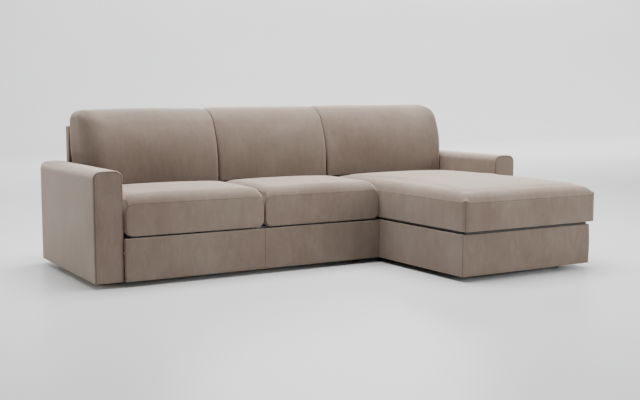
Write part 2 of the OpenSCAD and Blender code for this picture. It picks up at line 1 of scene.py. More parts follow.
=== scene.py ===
# %% [markdown]
# # A chaise sofa bed in brushed microfibre
#
# The frame of this sofa, its bed mechanism and its sizes come ready made. This notebook dresses
# them: it lays the padding and the fabric over the frame, gives every material its finish and
# lights the whole thing like a studio shot. Every length is in metres. X runs to the right as you
# face the sofa, Y to the back and Z up.

import json
import math
import bpy
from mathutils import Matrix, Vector

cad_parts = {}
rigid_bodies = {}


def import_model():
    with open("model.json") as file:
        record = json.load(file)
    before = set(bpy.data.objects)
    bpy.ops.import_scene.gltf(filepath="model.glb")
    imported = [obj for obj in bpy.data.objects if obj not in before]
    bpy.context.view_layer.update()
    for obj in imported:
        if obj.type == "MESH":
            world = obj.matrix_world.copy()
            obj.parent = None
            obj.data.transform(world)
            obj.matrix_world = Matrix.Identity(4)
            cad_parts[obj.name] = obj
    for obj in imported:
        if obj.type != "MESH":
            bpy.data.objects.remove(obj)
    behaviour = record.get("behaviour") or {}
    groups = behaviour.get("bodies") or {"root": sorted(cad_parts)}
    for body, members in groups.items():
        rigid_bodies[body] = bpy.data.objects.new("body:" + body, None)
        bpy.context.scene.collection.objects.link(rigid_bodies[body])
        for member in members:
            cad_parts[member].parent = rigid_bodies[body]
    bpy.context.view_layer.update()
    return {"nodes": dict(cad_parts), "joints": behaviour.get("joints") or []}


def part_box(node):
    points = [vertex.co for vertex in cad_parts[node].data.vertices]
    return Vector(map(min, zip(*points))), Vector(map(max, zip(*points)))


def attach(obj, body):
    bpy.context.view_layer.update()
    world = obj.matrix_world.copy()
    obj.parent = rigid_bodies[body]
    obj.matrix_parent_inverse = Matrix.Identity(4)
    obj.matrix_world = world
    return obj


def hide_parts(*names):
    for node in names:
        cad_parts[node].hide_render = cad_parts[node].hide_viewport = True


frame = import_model()

# %% [markdown]
# ## Sizes taken from the frame
#
# A cover that is drawn from its own numbers drifts away from the frame as soon as one of them
# changes. So every place below is read from the box of the frame's own pieces.

# %% Read the main places
ARM_L, ARM_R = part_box("arm_left_cover"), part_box("arm_right_cover")
SEAT_L, SEAT_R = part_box("seat_cushion_left"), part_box("seat_cushion_right")
BACK_L, BACK_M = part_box("back_cushion_left"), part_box("back_cushion_middle")
BACK_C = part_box("back_cushion_chaise")
LID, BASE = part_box("lid_cushion"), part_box("chaise_cover")
FRONT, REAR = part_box("base_front_cover"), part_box("rear_panel_cover")
ARM_FRONT_Y = ARM_L[0][1]
ARM_TOP = ARM_L[1][2]
print("arm height", round(ARM_TOP, 3), "fabric starts at", round(FRONT[0][2], 3))

# %% [markdown]
# ## The camera
#
# The view was worked out from the photograph's straight edges: a long lens about a metre above
# the floor, to the left of the sofa and turned towards its middle. A camera in Blender looks
# along its own -Z, so pitching it up from straight down by 90 degrees makes it level.

# %% Place the camera
CAMERA_AT = Vector((-3.1185, -5.167, 1.032))
CAMERA_YAW = math.radians(30.956)
CAMERA_PITCH = math.radians(5.97)
PHOTO_W = 640
FOCAL_PX = 983.5
SENSOR_W = 36.0


def link(obj):
    """Puts an object in the scene and hands it back."""
    bpy.context.scene.collection.objects.link(obj)
    return obj


def add_camera():
    data = bpy.data.cameras.new("photo_view")
    data.sensor_width = SENSOR_W
    data.lens = FOCAL_PX / PHOTO_W * SENSOR_W
    camera = link(bpy.data.objects.new("photo_view", data))
    camera.location = CAMERA_AT
    camera.rotation_euler = (math.pi / 2 - CAMERA_PITCH, 0, -CAMERA_YAW)
    bpy.context.scene.camera = camera
    return camera


camera = add_camera()
print("lens", round(camera.data.lens, 2), "mm")

# %% [markdown]
# ## Studio
#
# The floor runs up into the wall behind in one big curve, so no horizon shows. One sheet of quads
# swept along a line with an arc in it is enough. It reaches far enough on every side for views
# from behind the sofa as well.

# %% Floor and backdrop
FLOOR_HALF = 30.0
FLOOR_FRONT = -26.0
WALL_Y = 18.0
WALL_TOP = 18.0
CURVE_R = 5.0
CURVE_STEPS = 24


def mesh_object(name, verts, faces):
    mesh = bpy.data.meshes.new(name)
    mesh.from_pydata([tuple(v) for v in verts], [], faces)
    mesh.update()
    mesh.shade_smooth()
    return link(bpy.data.objects.new(name, mesh))


def add_backdrop():
    path = [(FLOOR_FRONT, 0.0)]
    for step in range(CURVE_STEPS + 1):
        turn = math.pi / 2 * step / CURVE_STEPS
        path.append((WALL_Y - CURVE_R + CURVE_R * math.sin(turn),
                     CURVE_R - CURVE_R * math.cos(turn)))
    path.append((WALL_Y, WALL_TOP))
    verts = [(x, y, z) for y, z in path for x in (-FLOOR_HALF, FLOOR_HALF)]
    faces = [(2 * i, 2 * i + 1, 2 * i + 3, 2 * i + 2) for i in range(len(path) - 1)]
    return mesh_object("backdrop", verts, faces)


backdrop = add_backdrop()
print("backdrop faces", len(backdrop.data.polygons))

# %% [markdown]
# ## Light
#
# The tops of the sofa are far brighter than its fronts and there is no hard shadow, which is
# what one large softbox overhead gives. A strip behind the sofa adds a pale rim along the back
# cushions and brightens the far end of the chaise. A weak lamp close to the left arm lifts its
# outer side. A low one in front, to the right, keeps the fronts readable and leaves the chaise's
# left side a little darker. The last one stands far off on the right and only washes the wall, so
# the backdrop stays pale without washing out the fabric. An even white world fills the rest: on
# its own it would light the tops and the fronts alike.

# %% Softboxes
# each: where it stands, the point it faces, its width and height, its power in watts
SOFTBOXES = {
    "overhead": ((0.4, 0.4, 4.2), (0.4, 0.2, 0.0), (4.8, 3.4), 780),
    "behind": ((2.4, 3.6, 2.7), (0.9, -0.3, 0.5), (3.2, 1.0), 130),
    "left_side": ((-4.0, 1.0, 1.0), (-1.4, 0.3, 0.5), (1.8, 1.2), 50),
    "front": ((2.7, -5.4, 1.6), (0.4, -0.6, 0.35), (3.0, 1.8), 262),
    "wall_wash": ((15.0, 7.0, 8.0), (15.0, 14.0, 0.5), (34.0, 3.0), 8800),
}
ROOM_LIGHT = 0.38


def add_softbox(name, place, target, size, watts):
    data = bpy.data.lights.new(name, "AREA")
    data.shape = "RECTANGLE"
    data.size, data.size_y = size
    data.energy = watts
    lamp = link(bpy.data.objects.new(name, data))
    lamp.location = place
    lamp.rotation_euler = (Vector(target) - Vector(place)).to_track_quat("-Z", "Y").to_euler()


def light_the_room(strength):
    world = bpy.data.worlds.new("studio")
    world.use_nodes = True
    background = world.node_tree.nodes["Background"]
    background.inputs["Color"].default_value = (1.0, 1.0, 1.0, 1.0)
    background.inputs["Strength"].default_value = strength
    bpy.context.scene.world = world


for name, facts in SOFTBOXES.items():
    add_softbox(name, *facts)
light_the_room(ROOM_LIGHT)

# %% [markdown]
# ## Materials
#
# Brushed microfibre is matt, with a short pile that has been stroked this way and that. Seen from
# a few steps it has faint cloudy patches and finer upright strokes; close up it has a fine grain.
# A sheen layer on the shader catches the light where the surface turns away, as pile does: it
# makes the tops pale and gives every cushion a light rim. All patterns come from object
# coordinates in metres, so nothing needs unwrapping.

# %% A helper that wires nodes


class Finish:
    """A new material with one shader, and short calls that add nodes to it."""

    def __init__(self, name):
        self.material = bpy.data.materials.new(name)
        self.material.use_nodes = True
        self.tree = self.material.node_tree
        self.shader = self.tree.nodes["Principled BSDF"]
        self.place = self.tree.nodes.new("ShaderNodeTexCoord").outputs["Object"]

    def node(self, kind, **values):
        made = self.tree.nodes.new(kind)
        for key, value in values.items():
            setattr(made, key, value)
        return made

    def wire(self, source, node, socket):
        self.tree.links.new(source, node.inputs[socket])

    def stretched(self, scale):
        mapping = self.node("ShaderNodeMapping")
        mapping.inputs["Scale"].default_value = scale
        self.wire(self.place, mapping, "Vector")
        return mapping.outputs["Vector"]

    def cloud(self, scale, detail=3.0, roughness=0.5, distortion=0.0, stretch=None):
        """Soft noise; scale is roughly the number of patches to a metre."""
        made = self.node("ShaderNodeTexNoise")
        made.inputs["Scale"].default_value = scale
        made.inputs["Detail"].default_value = detail
        made.inputs["Roughness"].default_value = roughness
        made.inputs["Distortion"].default_value = distortion
        self.wire(self.stretched(stretch) if stretch else self.place, made, "Vector")
        return made.outputs["Fac"]

    def ramp(self, source, *stops):
        """Turns a height into colours; each stop is (height, colour)."""
        made = self.node("ShaderNodeValToRGB")
        first, last = made.color_ramp.elements
        first.position, first.color = stops[0][0], (*stops[0][1], 1.0)
        last.position, last.color = stops[-1][0], (*stops[-1][1], 1.0)
        for position, colour in stops[1:-1]:
            made.color_ramp.elements.new(position).color = (*colour, 1.0)
        self.wire(source, made, "Fac")
        return made.outputs["Color"]

    def greys(self, source, *stops):
        """The same with plain greys; each stop is (height, grey)."""
        return self.ramp(source, *((position, (grey,) * 3) for position, grey in stops))

    def mix(self, blend, amount, a, b):
        made = self.node("ShaderNodeMix", data_type="RGBA", blend_type=blend)
        made.inputs["Factor"].default_value = amount
        self.wire(a, made, "A")
        self.wire(b, made, "B")
        return made.outputs["Result"]

    def paint(self, colour):
        self.wire(colour, self.shader, "Base Color")

    def bump(self, *layers):
        """Stacks bump nodes: each layer is (height output, strength, depth in metres)."""
        normal = None
        for height, strength, depth in layers:
            made = self.node("ShaderNodeBump")
            made.inputs["Strength"].default_value = strength
            made.inputs["Distance"].default_value = depth
            self.wire(height, made, "Height")
            if normal:
                self.wire(normal, made, "Normal")
            normal = made.outputs["Normal"]
        self.wire(normal, self.shader, "Normal")

    def set(self, **sockets):
        for socket, value in sockets.items():
            self.shader.inputs[socket.replace("_", " ")].default_value = value


print("finish helper ready")

# %% Microfibre
NAP_DARK = (0.128, 0.093, 0.073)
NAP_MID = (0.154, 0.117, 0.093)
NAP_LIGHT = (0.180, 0.145, 0.117)
NAP_SHEEN = (1.0, 0.87, 0.77, 1.0)
STROKE_HEIGHT = 0.003
PILE_HEIGHT = 0.0006


def microfibre(name, shade=1.0, sheen=0.75):
    """The cover's fabric; shade below 1 darkens its colour as painted shade for pieces meant to
    look more shaded.
    """
    finish = Finish(name)
    dark, mid, light = [tuple(c * shade for c in tone) for tone in (NAP_DARK, NAP_MID, NAP_LIGHT)]
    patches = finish.cloud(3.0, 4.0, 0.6, 0.3, (1.0, 1.0, 0.8))
    strokes = finish.cloud(30.0, 5.0, 0.70, 0.6, (1.0, 1.0, 0.34))
    pile = finish.cloud(420.0, 2.0, 0.6)
    colour = finish.mix("SOFT_LIGHT", 0.42,
                        finish.ramp(patches, (0.25, dark), (0.5, mid), (0.76, light)),
                        finish.greys(strokes, (0.3, 0.38), (0.7, 0.62)))
    finish.paint(finish.mix("MULTIPLY", 0.35, colour,
                            finish.greys(pile, (0.3, 0.72), (0.62, 1.0))))
    finish.set(Roughness=0.93, Sheen_Weight=sheen, Sheen_Roughness=0.36, Sheen_Tint=NAP_SHEEN,
               Specular_IOR_Level=0.12)
    finish.bump((strokes, 0.10, STROKE_HEIGHT), (pile, 0.30, PILE_HEIGHT))
    return finish.material


fabric = microfibre("microfibre")
# painted shade: the back cushions get a copy of the fabric darkened to look more shaded
back_fabric_painted_shade = microfibre("microfibre_back", 0.80)
# painted shade: the front panel, rear panel and chaise base get a darker copy, as if shaded under
# the cushions
base_fabric_painted_shade = microfibre("microfibre_base", 0.93, 0.5)
# painted shade: the seam cords are the same fabric darkened for the shade in a seam's crease
seam_fabric_painted_shade = microfibre("microfibre_seam", 0.60, 0.1)
print("fabric shades", NAP_DARK, NAP_MID, NAP_LIGHT)

# %% [markdown]
# ## Studio floor
#
# A painted studio floor is almost even, with a little gloss that mirrors the sofa's foot faintly.
# A plain grey would do for the colour, but hardly visible clouds and a fine grit keep it real.

# %% Painted studio floor


def studio_paint():
    finish = Finish("studio_paint")
    clouds = finish.cloud(0.6, 3.0, 0.5)
    grit = finish.cloud(180.0, 2.0, 0.5)
    finish.paint(finish.ramp(clouds, (0.3, (0.475, 0.479, 0.483)), (0.7, (0.495, 0.499, 0.503))))
    finish.set(Roughness=0.34, Specular_IOR_Level=0.35)
    finish.bump((grit, 0.05, 0.0004))
    return finish.material


backdrop.data.materials.append(studio_paint())
print("backdrop", backdrop.data.materials[0].name)

# %% [markdown]
# ## Upholstery forms
#
# Every padded piece starts as a grid of quads wrapped round a box, because such a grid can be
# followed by row and column: the box's edges are where the seams of a real cushion run. A short
# rule then moves each point of the box to its place on the cushion. The rows lie closer together
# where the rule bends the surface.

# %% Rows of a grid
FABRIC_STEP = 0.014


def spaced(low, high, near_low, near_high=None, step=FABRIC_STEP):
    """Rows from low to high about `step` apart, and closer ones at the given distances from
    either end; without near_high both ends are alike."""
    near_high = near_high or near_low
    start, end = low + max(near_low), high - max(near_high)
    count = max(1, round((end - start) / step))
    rows = {round(start + (end - start) * k / count, 6) for k in range(count + 1)}
    rows |= {round(low + e, 6) for e in near_low} | {round(high - e, 6) for e in near_high}
    return sorted(rows | {round(low, 6), round(high, 6)})


print("rows over 0.2 m:", len(spaced(0.0, 0.2, (0.004, 0.012))))

# %% A grid wrapped round a box


class Form:
    """A closed surface of quads on a box's faces, with the index of each vertex kept."""

    def __init__(self, name, rows, rule):
        self.last = tuple(len(r) - 1 for r in rows)
        n, m, h = self.last
        self.at, verts, faces = {}, [], []
        for i, x in enumerate(rows[0]):
            for j, y in enumerate(rows[1]):
                for k, z in enumerate(rows[2]):
                    if i in (0, n) or j in (0, m) or k in (0, h):
                        self.at[i, j, k] = len(verts)
                        verts.append(rule(Vector((x, y, z))))

        def quad(*corners):
            faces.append([self.at[c] for c in corners])

        for i in range(n):
            for j in range(m):
                quad((i, j, 0), (i, j + 1, 0), (i + 1, j + 1, 0), (i + 1, j, 0))
                quad((i, j, h), (i + 1, j, h), (i + 1, j + 1, h), (i, j + 1, h))
            for k in range(h):
                quad((i, 0, k), (i + 1, 0, k), (i + 1, 0, k + 1), (i, 0, k + 1))
                quad((i, m, k), (i, m, k + 1), (i + 1, m, k + 1), (i + 1, m, k))
        for j in range(m):
            for k in range(h):
                quad((0, j, k), (0, j, k + 1), (0, j + 1, k + 1), (0, j + 1, k))
                quad((n, j, k), (n, j + 1, k), (n, j + 1, k + 1), (n, j, k + 1))
        self.obj = mesh_object(name, verts, faces)

    def edge(self, *corners):
        """Grid places along the box's edges, from corner to corner; 1 means the last row."""
        stops = [tuple(c * last for c, last in zip(corner, self.last)) for corner in corners]
        path = [stops[0]]
        for stop in stops[1:]:
            while path[-1] != stop:
                path.append(tuple(p + (s > p) - (s < p) for p, s in zip(path[-1], stop)))
        return path

    def ids(self, test):
        """The vertices whose grid place passes the test."""
        return [index for place, index in self.at.items() if test(*place)]


print("grid form ready")

# %% Curves that shape a cushion


def ease(distance, reach, power=2.0):
    """0 at an edge, 1 from `reach` inwards, and round in between."""
    s = min(max(distance / reach, 0.0), 1.0)
    return (1 - (1 - s) ** power) ** (1 / power)


def arch(value, low, high):
    """0 at both ends and 1 in the middle."""
    return math.sin(math.pi * min(max((value - low) / (high - low), 0.0), 1.0))


def round_corners(p, axes, low, high, radii):
    """Rounds the corners of a section. radii holds one pair per corner: (low,low), (high,low),
    (low,high), (high,high)."""
    a, b = axes
    side_a, side_b = p[a] > (low[a] + high[a]) / 2, p[b] > (low[b] + high[b]) / 2
    ra, rb = radii[side_a + 2 * side_b]
    inner_a = min(max(p[a], low[a] + ra), high[a] - ra)
    inner_b = min(max(p[b], low[b] + rb), high[b] - rb)
    da, db = (p[a] - inner_a) / ra, (p[b] - inner_b) / rb
    if da and db:
        fit = max(abs(da), abs(db)) / math.hypot(da, db)
        p[a], p[b] = inner_a + ra * da * fit, inner_b + rb * db * fit
    return p


def both(radius, corners=1):
    """The same radius along both axes, for one corner or for several."""
    return [(radius, radius)] * corners


print("half way in, an edge of 0.06 m has risen to", round(ease(0.03, 0.06), 3))

# %% [markdown]
# ## Stuffing
#
# A cloth simulation fills each cushion. Its seams are pinned, so the panels swell between them as
# they do on foam that is a little too big for its cover. The side faces are pinned too, because
# the cushions stand close together there. The swelling is short and capped, which keeps the
# cushion inside its own space. Thin fabric under pressure also throws small folds that taut foam
# doesn't have, so each point's move is averaged with its neighbours' before it is used.
# Afterwards the surface is subdivided once.

# %% Smooth a surface


def smooth(obj):
    """Subdivides once and keeps the result as the mesh."""
    divide = obj.modifiers.new("smooth", "SUBSURF")
    divide.levels = divide.render_levels = 1
    done = obj.evaluated_get(bpy.context.evaluated_depsgraph_get())
    mesh = bpy.data.meshes.new_from_object(done)
    old, name = obj.data, obj.data.name
    obj.modifiers.clear()
    obj.data = mesh
    bpy.data.meshes.remove(old)
    mesh.name = name
    mesh.shade_smooth()
    return obj


print("smoothing ready")

# %% Stuff a form
STUFF_FRAMES = 16
STUFF_PRESSURE = 4.0
STUFF_BENDING = 0.6
CALM_ROUNDS = 5
NO_MOVE = 1e-9


def calmed(moves, edges, pinned):
    """Each move averaged with its neighbours' a few times over, so that no small fold stays."""
    for _ in range(CALM_ROUNDS):
        sums, counts = [m.copy() for m in moves], [1] * len(moves)
        for edge in edges:
            a, b = edge.vertices
            sums[a] += moves[b]
            sums[b] += moves[a]
            counts[a] += 1
            counts[b] += 1
        moves = [m if i in pinned else s / c
                 for i, (m, s, c) in enumerate(zip(moves, sums, counts))]
    return moves


def stuff(form, pinned, cap):
    obj = form.obj
    start = [v.co.copy() for v in obj.data.vertices]
    obj.vertex_groups.new(name="seams").add(pinned, 1.0, "REPLACE")
    cloth = obj.modifiers.new("stuffing", "CLOTH")
    rules = cloth.settings
    rules.use_pressure = True
    rules.uniform_pressure_force = STUFF_PRESSURE
    rules.effector_weights.gravity = 0.0
    rules.vertex_group_mass = "seams"
    rules.bending_stiffness = STUFF_BENDING
    cloth.point_cache.frame_end = STUFF_FRAMES
    for step in range(1, STUFF_FRAMES + 1):
        bpy.context.scene.frame_set(step)
    filled = obj.evaluated_get(bpy.context.evaluated_depsgraph_get()).data
    moves = [v.co - s for v, s in zip(filled.vertices, start)]
    moves = calmed(moves, obj.data.edges, set(pinned))
    obj.modifiers.remove(cloth)
    obj.vertex_groups.clear()
    for vertex, s, move in zip(obj.data.vertices, start, moves):
        vertex.co = s + move * min(1.0, cap / max(move.length, NO_MOVE))
    bpy.context.scene.frame_set(1)
    print(obj.name, "pushed by up to", round(max(m.length for m in moves) * 1000, 1), "mm")
    return smooth(obj)


print("stuffing runs for", STUFF_FRAMES, "frames")

# %% [markdown]
# ## Seams
#
# A seam is two layers of fabric turned inwards, so it shows as a thin line that catches the light
# on one side. Pressed into the surface it would need very fine rows, and painted on it would
# vanish from the mesh. A thin cord along the grid's edge vertices draws it, in the fabric darkened
# as painted shade, standing in for the shade in the seam's crease.

# %% Sew along a row of vertices
SEAM_R = 0.0014
SEAM_SINK = 0.0004
TUBE_SIDES = 6
ASIDE = Vector((0.31, 0.17, 0.93))  # a direction that no seam follows


def tube(name, points, radius, closed=False):
    verts, faces, count = [], [], len(points)
    for i, p in enumerate(points):
        before = points[(i - 1) % count] if closed or i else p
        after = points[(i + 1) % count] if closed or i < count - 1 else p
        along = (after - before).normalized()
        across = along.cross(ASIDE).normalized()
        up = across.cross(along)
        for s in range(TUBE_SIDES):
            turn = 2 * math.pi * s / TUBE_SIDES
            verts.append(p + radius * (math.cos(turn) * across + math.sin(turn) * up))
    for i in range(count if closed else count - 1):
        a, b = i * TUBE_SIDES, (i + 1) % count * TUBE_SIDES
        for s in range(TUBE_SIDES):
            t = (s + 1) % TUBE_SIDES
            faces.append((a + s, a + t, b + t, b + s))
    if not closed:
        ring = range(TUBE_SIDES)
        faces += [list(ring)[::-1], [(count - 1) * TUBE_SIDES + s for s in ring]]
    return mesh_object(name, verts, faces)


def stitched(owner, name, points, radius, closed=False, material=seam_fabric_painted_shade):
    """A cord through the points that moves with its owner."""
    seam = tube(name, points, radius, closed)
    seam.data.materials.append(material)
    seam.parent = owner
    return seam


def sew(form, name, path, radius=SEAM_R, sink=SEAM_SINK, closed=False, material=seam_fabric_painted_shade):
    """Lays a seam on the finished surface, sunk a little along each vertex's normal."""
    verts = form.obj.data.vertices
    points = [verts[form.at[p]].co - verts[form.at[p]].normal * sink for p in path]
    if closed:
        points = points[:-1]
    return stitched(form.obj, name, points, radius, closed, material)


print("seam radius", SEAM_R)

# %% Dress a body in a finished piece


def dress(obj, body, node, material=fabric):
    """Gives a piece its fabric and puts it on its body, in the place of the frame's node."""
    obj.data.materials.clear()
    obj.data.materials.append(material)
    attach(obj, body)
    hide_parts(node)


print("covers go on in", fabric.name)

# %% [markdown]
# ## Seat cushions
#
# From the front a seat cushion is a rounded rectangle with a seam all round it. Above that seam
# the top panel climbs steeply, then rises slowly to its crown, and ends just under the back
# cushion. The underside hangs in front of the bed frame and steps up behind it to lie on the deck.
# A flat block with bevelled edges would look like foam without a cover, so each of these features
# is a line of its own in the rule below.

# %% Seat shape
TOP_CLEAR = 0.001
SEAT_SEAM_Z = 0.4525
SEAT_CORNER = 0.044
SEAT_RISE, SEAT_SIDE_REACH, SEAT_FRONT_REACH = 0.046, 0.060, 0.065
SEAT_CROWN = SEAT_L[1][2] - TOP_CLEAR - SEAT_SEAM_Z - SEAT_RISE
SEAT_CREST = 0.05  # puts the crown's highest place half as far behind the middle
SEAT_DRAW, SEAT_DRAW_REACH = 0.003, 0.030
SEAT_LIFT = 0.002
SEAT_TUCK, SEAT_TUCK_REACH = 0.21, 0.09
SEAT_BULGE, SEAT_BULGE_REACH = 0.005, 0.06
SEAT_LIP = 0.048
DECK_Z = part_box("seat_deck")[1][2] + 0.0004


def seat_rule(low, high):
    depth, half = high.y - low.y, (high.x - low.x) / 2

    def rule(p):
        t = p.y - low.y
        top = (p.z - low.z) / (high.z - low.z)
        p = round_corners(p, (0, 2), low, high, both(SEAT_CORNER, 4))
        side, from_front = min(p.x - low.x, high.x - p.x), ease(t, SEAT_DRAW_REACH)
        # the seams pull the panels in at the front and along the top and bottom edges
        draw = SEAT_DRAW * (1 - from_front)
        draw += SEAT_DRAW * arch(p.y, low.y, high.y) * abs(2 * top - 1)
        p.x += -draw * (p.x - low.x - half) / half
        p.z += SEAT_LIFT * (1 - from_front) * (1 - top)
        # the top panel: a steep wall, a slow crown, and lower again under the back cushion
        wall = SEAT_RISE * ease(side, SEAT_SIDE_REACH) * ease(t, SEAT_FRONT_REACH)
        slow = (arch(p.x, low.x, high.x) * arch(t, 0, depth + SEAT_CREST)) ** 0.3
        tuck = 1 - SEAT_TUCK + SEAT_TUCK * ease(high.y - p.y, SEAT_TUCK_REACH)
        p.z += (wall + SEAT_CROWN * slow * from_front) * tuck * max(0.0, 2 * top - 1)
        bulge = arch(p.x, low.x, high.x) ** 0.5 * arch(p.z, low.z, high.z + 0.02) ** 0.6
        p.y -= SEAT_BULGE * bulge * (1 - ease(t, SEAT_BULGE_REACH))
        if t > SEAT_LIP:
            p.z = max(p.z, DECK_Z)
        return p

    return rule


print("seat crown", round(SEAT_CROWN, 4))

# %% Two seat cushions
SEAT_INSET = 0.0015
SEAT_OFF = Vector((SEAT_INSET, 0.003, 0.0005))
SEAT_UNDER_BACK = 0.004
SEAT_CAP = 0.006
SEAT_EDGE_ROWS = (0.005, 0.011, 0.019, 0.029, 0.044, 0.060)
SEAT_FRONT_ROWS = (0.004, 0.009, 0.016, 0.025, 0.036, SEAT_LIP - 0.001, SEAT_LIP + 0.001)
SEAT_REAR_ROWS = (0.004, 0.012)
SIDES = ("left", "right")


def seat_cushion(name, box, node):
    low = Vector(box[0]) + SEAT_OFF
    high = Vector((box[1][0] - SEAT_INSET, BACK_L[0][1] + SEAT_UNDER_BACK, SEAT_SEAM_Z))
    rows = [spaced(low.x, high.x, SEAT_EDGE_ROWS),
            spaced(low.y, high.y, SEAT_FRONT_ROWS, SEAT_REAR_ROWS),
            spaced(low.z, high.z, SEAT_EDGE_ROWS[:5])]
    form = Form(name, rows, seat_rule(low, high))
    n, m, h = form.last
    still = form.ids(lambda i, j, k: k == 0 or j == m or i in (0, n) or (j == 0 and k == h))
    stuff(form, still, SEAT_CAP)
    dress(form.obj, "middle_section", node)
    around = form.edge((0, 0, 0), (0, 0, 1), (1, 0, 1), (1, 0, 0), (0, 0, 0))
    sew(form, f"{name}_front_seam", around, closed=True)
    for side, label in enumerate(SIDES):
        sew(form, f"{name}_{label}_seam", form.edge((side, 0, 1), (side, 1, 1)))
    return form


seats = [seat_cushion("seat_left", SEAT_L, "seat_cushion_left"),
         seat_cushion("seat_right", SEAT_R, "seat_cushion_right")]
print("seat vertices", len(seats[0].obj.data.vertices))

# %% [markdown]
# ## Back cushions
#
# A back cushion's front leans away from the sitter and rolls over the top in one large round. Its
# side panels are sewn in along the edges, so the ends look boxed. The three stand close together.
# The left one has a long soft end towards the arm. The chaise's cushion is fuller, and its free
# upper corner is the roundest. Simulation alone would swell all three alike, so the rule gives
# each its own corners, bulges and fall, and the simulation only fills them. When the bed opens,
# the folding legs sweep past the outer sides of the left and the middle one, so those sides are
# pressed in below the top of the legs.

# %% Back shape
BACK_LEAN, BACK_LEAN_POWER, BACK_LEAN_FROM = 0.126, 2.2, 0.04
BACK_DROP, BACK_ROLL = 0.086, 0.105
BACK_PULL, REAR_EDGE = 0.010, 0.03
EDGE_WIDTH, EDGE_GROWTH, EDGE_FROM, EDGE_OVER = 0.024, 0.026, 0.55, 0.45
BACK_SWELL = 0.012
BACK_FOOT_R, PLAN_FRONT_R, PLAN_REAR_R = 0.008, 0.014, 0.012
BULGE_REACH = 0.12
TAPER_REACH = 0.25
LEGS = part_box("foot_legs")
LEG_TOP, LEG_FADE, LEG_REACH = LEGS[1][2] + 0.008, 0.06, 0.10


def back_rule(low, high, corners, left_round, bulges, taper, falls, reach):
    """corners, bulges, falls and reach hold one value for the left half and one for the right."""
    height = high.z - low.z - BACK_LEAN_FROM
    middle_x, half = (low.x + high.x) / 2, (high.x - low.x) / 2
    outline = both(BACK_FOOT_R, 2) + list(corners)
    plan = [left_round] + both(PLAN_FRONT_R) + both(PLAN_REAR_R, 2)

    def rule(p):
        up = (p.z - low.z) / (high.z - low.z)
        hand = int(p.x >= middle_x)
        outwards = (-1, 1)[hand]
        p = round_corners(p, (0, 2), low, high, outline)
        p = round_corners(p, (0, 1), low, high, plan)
        depth = (p.y - low.y) / (high.y - low.y)
        side = min(p.x - low.x, high.x - p.x)
        # the front leans back, and front and rear meet in the roll over the top
        lean = BACK_LEAN * max(0.0, (p.z - low.z - BACK_LEAN_FROM) / height) ** BACK_LEAN_POWER
        roll = max(0.0, (p.z - (high.z - BACK_DROP)) / BACK_DROP)
        over = BACK_ROLL * (1 - math.sqrt(max(0.0, 1 - roll ** 2)))
        wide = EDGE_WIDTH + EDGE_GROWTH * ease(up - EDGE_FROM, EDGE_OVER, 1.3)
        front = lean + BACK_PULL * (1 - ease(side, wide)) + over
        rear = over + BACK_PULL * (1 - ease(side, REAR_EDGE))
        p.y = low.y + front + (high.y - low.y - front - rear) * depth
        p.z -= falls[hand] * (abs(p.x - middle_x) / half) ** 2 * up ** 2
        full = arch(p.x, low.x, high.x) ** 0.6 * arch(up, -0.1, 1.15)
        p.y -= BACK_SWELL * full * (1 - depth)
        # the sides: out where the stuffing bulges, in where the legs pass, soft at the left end
        bulge = bulges[hand] * arch(up, 0.15, 1.25) * max(0.0, 1 - side / BULGE_REACH) ** 2
        p.x += bulge * outwards
        free = min(max((p.z - LEG_TOP) / LEG_FADE, 0.0), 1.0)
        edge = max(0.0, 1 - min(p.x - low.x, high.x - p.x) / LEG_REACH)
        p.x -= outwards * reach[hand] * (1 - free * free * (3 - 2 * free)) * edge
        near_left = max(0.0, 1 - (p.x - low.x) / TAPER_REACH)
        p.x += taper * max(0.0, 1 - depth) ** 1.5 * near_left ** 2
        return p

    return rule


print("the legs end at", round(LEGS[1][2], 3))

# %% Three back cushions
BACK_INSET = 0.001
BACK_FRONT, BACK_REAR, BACK_UNDER, BACK_TOP = 0.010, 0.004, 0.001, 0.003
BACK_CAP = 0.009
BACK_SEAM_R, BACK_SEAM_SINK = 0.0013, 0.0006
LEG_ROOM = 0.0045
SIDE_ROOM = 0.003
TIGHT_CORNER, SOFT_CORNER, FREE_CORNER = (0.050, 0.055), (0.044, 0.050), (0.072, 0.085)
BACK_SIDE_ROWS = (0.004, 0.010, 0.018, 0.028, 0.042, 0.060)
BACK_DEPTH_ROWS = (0.006, 0.016)
BACK_LOW_ROWS = (0.005, 0.014)
BACK_TOP_ROWS = (0.002, 0.006, 0.012, 0.020, 0.030, 0.042, 0.056, 0.070)


def back_cushion(name, box, body, node, left=0.0, right=0.0,
                 corners=(TIGHT_CORNER, TIGHT_CORNER), left_round=(0.012, 0.012),
                 bulges=(0.003, 0.003), taper=0.0, falls=(0.006, 0.006), lift=0.0):
    """left, right and lift push the cushion out on that side and at the top."""
    low = Vector(box[0]) + Vector((BACK_INSET - left, BACK_FRONT, BACK_UNDER))
    high = Vector(box[1]) - Vector((BACK_INSET - right, BACK_REAR, BACK_TOP - lift))
    rows = [spaced(low.x, high.x, (*BACK_SIDE_ROWS, left_round[0]), BACK_SIDE_ROWS),
            spaced(low.y, high.y, BACK_DEPTH_ROWS),
            spaced(low.z, high.z, BACK_LOW_ROWS, BACK_TOP_ROWS)]
    reach = (left and LEGS[0][0] + LEG_ROOM - low.x, right and high.x - LEGS[1][0] + LEG_ROOM)
    rule = back_rule(low, high, corners, left_round, bulges, taper, falls, reach)
    form = Form(name, rows, rule)
    n, m = form.last[:2]
    still = form.ids(lambda i, j, k: k == 0 or j == m or i in (0, n))
    stuff(form, still, BACK_CAP)
    dress(form.obj, body, node, back_fabric_painted_shade)
    sew(form, f"{name}_right_seam", form.edge((1, 0, 0), (1, 0, 1), (1, 1, 1), (1, 1, 0)),
        BACK_SEAM_R, BACK_SEAM_SINK)
    return form


